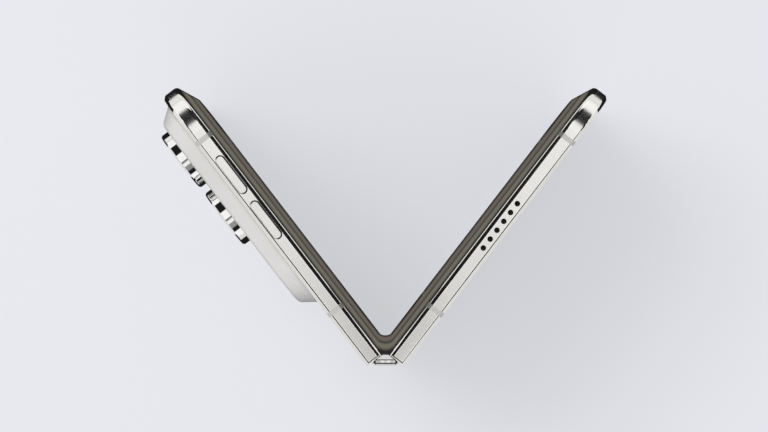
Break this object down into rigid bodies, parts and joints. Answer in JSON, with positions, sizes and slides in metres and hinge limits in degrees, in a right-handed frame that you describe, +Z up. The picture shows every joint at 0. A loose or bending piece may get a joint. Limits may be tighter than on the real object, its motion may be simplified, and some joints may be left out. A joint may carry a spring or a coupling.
{
  "type": "foldable smartphone",
  "caption": "Book-style folding phone with an inner folding display, an outer cover display and a raised camera plateau, standing half open on its bottom edges.",
  "frame": {"origin": "middle of the flat bottom end of the spine, level with the bottom edges that the phone stands on", "axes": "+Z up along the hinge, +X towards the camera half, -Y towards the opening between the displays"},
  "size_m": [0.111, 0.0688, 0.1207],
  "materials": {
    "satin_metal": "fine blasted and anodised, satin",
    "polished_metal": "mirror polished",
    "steel": "machined",
    "mesh_steel": "blackened woven mesh",
    "band_plastic": "moulded, flush with the metal",
    "pearl_glass": "opaque pearl glass, satin",
    "cover_glass": "clear gloss over a dark display",
    "lens_glass": "coated gloss",
    "display": "dark gloss, display off",
    "black_plastic": "moulded",
    "flash_plastic": "clear diffuser",
    "circuit_board": "solder mask",
    "battery_foil": "wrapped pouch cell"
  },
  "bodies": {
    "spine": {"spine_cover": "satin_metal", "hinge_block_lower": "satin_metal", "hinge_carrier": "satin_metal", "hinge_block_upper": "satin_metal", "hinge_pins": "steel", "display_fold": "display"},
    "camera_half": {"camera_half_frame": "satin_metal", "camera_half_antenna_bands": "band_plastic", "camera_back_glass": "pearl_glass", "lens_ring_outer": "polished_metal", "lens_ring_inner": "polished_metal", "lens_window_outer": "lens_glass", "lens_window_inner": "lens_glass", "camera_module_outer": "black_plastic", "camera_module_inner": "black_plastic", "flash_window": "flash_plastic", "main_board": "circuit_board", "shield_can": "steel", "camera_half_battery": "battery_foil", "charging_port": "steel", "bottom_speaker": "black_plastic", "bottom_speaker_mesh": "mesh_steel", "haptic_motor": "steel", "inner_camera": "black_plastic", "camera_half_support_plate": "steel", "display_panel_camera_side": "display", "camera_hinge_arms": "steel", "camera_arm_screws": "steel"},
    "cover_half": {"cover_half_frame": "satin_metal", "cover_half_antenna_bands": "band_plastic", "cover_glass": "cover_glass", "cover_display": "display", "cover_camera": "black_plastic", "top_speaker": "black_plastic", "top_speaker_mesh": "mesh_steel", "cover_half_battery": "battery_foil", "cover_half_board": "circuit_board", "cover_half_support_plate": "steel", "display_panel_cover_side": "display", "cover_hinge_arms": "steel", "cover_arm_screws": "steel"},
    "idler_a": {"idler_gear_a": "steel"},
    "idler_b": {"idler_gear_b": "steel"},
    "volume_up": {"volume_up_button": "satin_metal"},
    "volume_down": {"volume_down_button": "satin_metal"},
    "side_key": {"side_button": "satin_metal"},
    "tray": {"card_tray": "satin_metal"}
  },
  "joints": [
    {"name": "camera_fold", "type": "hinge", "parent": "spine", "child": "camera_half", "pos_m": [0.0025, -0.00036, 0], "axis": [0, 0, 1], "range_deg": [-37.5, 52.5], "deforming": ["display_fold"]},
    {"name": "cover_fold", "type": "hinge", "parent": "spine", "child": "cover_half", "pos_m": [-0.0025, -0.00036, 0], "axis": [0, 0, -1], "range_deg": [-37.5, 52.5]},
    {"name": "idler_a_turn", "type": "hinge", "parent": "spine", "child": "idler_a", "pos_m": [0.00083, -0.00036, 0], "axis": [0, 0, -1], "range_deg": [-37.5, 52.5]},
    {"name": "idler_b_turn", "type": "hinge", "parent": "spine", "child": "idler_b", "pos_m": [-0.00083, -0.00036, 0], "axis": [0, 0, 1], "range_deg": [-37.5, 52.5]},
    {"name": "volume_up_press", "type": "slide", "parent": "camera_half", "child": "volume_up", "axis": [0, 0, -1], "range_m": [0, 0.00025], "stiffness_N_per_m": 800},
    {"name": "volume_down_press", "type": "slide", "parent": "camera_half", "child": "volume_down", "axis": [0, 0, -1], "range_m": [0, 0.00025], "stiffness_N_per_m": 800},
    {"name": "side_button_press", "type": "slide", "parent": "camera_half", "child": "side_key", "axis": [-0.6088, 0.7934, 0], "range_m": [0, 0.00025], "stiffness_N_per_m": 800},
    {"name": "card_tray_slide", "type": "slide", "parent": "cover_half", "child": "tray", "axis": [-0.6088, -0.7934, 0], "range_m": [0, 0.022]}
  ],
  "couplings": [
    {"joint": "cover_fold", "follows": "camera_fold", "ratio": 1},
    {"joint": "idler_a_turn", "follows": "camera_fold", "ratio": 1},
    {"joint": "idler_b_turn", "follows": "camera_fold", "ratio": 1}
  ]
}
